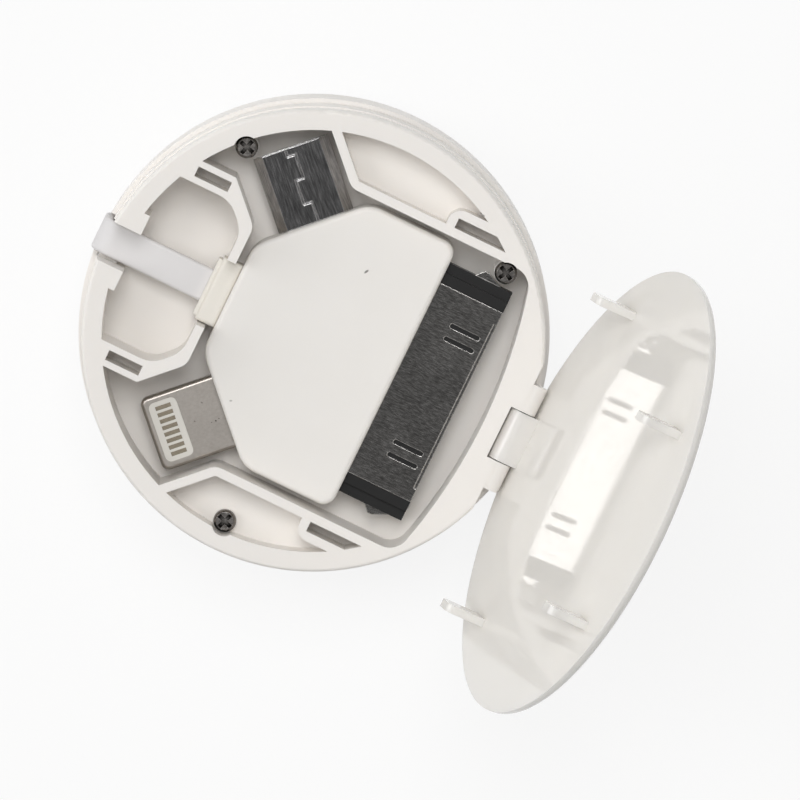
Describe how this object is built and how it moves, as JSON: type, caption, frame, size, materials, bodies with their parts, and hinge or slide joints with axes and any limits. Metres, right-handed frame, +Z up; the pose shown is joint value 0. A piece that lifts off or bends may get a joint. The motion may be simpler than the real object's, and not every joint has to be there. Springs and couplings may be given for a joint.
{
  "type": "retractable cable charger",
  "caption": "Round pocket case with a sprung cable reel, a hinged lid and a tray that holds a head with a dock plug, a slim blade plug and a micro plug on a flat ribbon cable.",
  "frame": {"origin": "centre of the base's flat underside", "axes": "+Z up through the case, +X towards the lid hinge"},
  "size_m": [0.0533, 0.0414, 0.0524],
  "materials": {
    "white_shell": "fine moulded grain, slightly glossy",
    "lid_shell": "smooth frosted moulding",
    "reel_plastic": "plain moulding",
    "ribbon_jacket": "smooth soft jacket",
    "relief_rubber": "soft moulding",
    "dock_steel": "dark plated, fine brushed",
    "plug_black": "plain moulding",
    "contact_gold": "gold plated",
    "contact_grey": "plated contact",
    "blade_metal": "satin plated",
    "insert_plastic": "plain moulding",
    "micro_steel": "plated folded sheet",
    "fastener_steel": "dark plated",
    "spring_steel": "blue-grey strip",
    "board_laminate": "solder mask"
  },
  "bodies": {
    "case": {"base_shell": "white_shell", "tray": "white_shell", "hinge_pin": "fastener_steel", "tray_screw_a": "fastener_steel", "tray_screw_b": "fastener_steel", "tray_screw_c": "fastener_steel", "reel_spring": "spring_steel", "lead_ribbon": "ribbon_jacket", "head_top_shell": "white_shell", "head_bottom_shell": "white_shell", "head_board": "board_laminate", "strain_relief": "relief_rubber", "dock_plug_core": "plug_black", "dock_plug_shell": "dock_steel", "dock_contacts": "contact_gold", "blade_plug_body": "blade_metal", "blade_plug_insert": "insert_plastic", "blade_contacts": "contact_grey", "micro_plug_shell": "micro_steel", "micro_plug_core": "plug_black", "micro_contacts": "contact_gold"},
    "lid": {"lid": "lid_shell"},
    "reel": {"reel": "reel_plastic", "wound_ribbon": "ribbon_jacket"},
    "ratchet_ball": {"ratchet_ball": "fastener_steel"},
    "dock_latch_left": {"dock_latch_left": "fastener_steel"},
    "dock_latch_right": {"dock_latch_right": "fastener_steel"},
    "micro_latch": {"micro_latch": "fastener_steel"}
  },
  "joints": [
    {"name": "lid_hinge", "type": "hinge", "parent": "case", "child": "lid", "pos_m": [0.01917, 0, 0.01486], "axis": [0, 1, 0], "range_deg": [-106.5, 0]},
    {"name": "reel_turn", "type": "hinge", "parent": "case", "child": "reel", "pos_m": [0, 0, 0.0046], "axis": [0, 0, 1], "range_deg": [0, 1890], "stiffness_Nm_per_rad": 0.0006, "springref_deg": -687.55, "deforming": ["reel_spring"]},
    {"name": "ratchet_slide", "type": "slide", "parent": "case", "child": "ratchet_ball", "axis": [0, 1, 0], "range_m": [0, 0.00147]},
    {"name": "dock_latch_left_press", "type": "slide", "parent": "case", "child": "dock_latch_left", "axis": [0, -1, 0], "range_m": [0, 0.00055], "stiffness_N_per_m": 600},
    {"name": "dock_latch_right_press", "type": "slide", "parent": "case", "child": "dock_latch_right", "axis": [0, 1, 0], "range_m": [0, 0.00055], "stiffness_N_per_m": 600},
    {"name": "micro_latch_press", "type": "slide", "parent": "case", "child": "micro_latch", "axis": [0, 0, 1], "range_m": [0, 0.0003], "stiffness_N_per_m": 600}
  ]
}
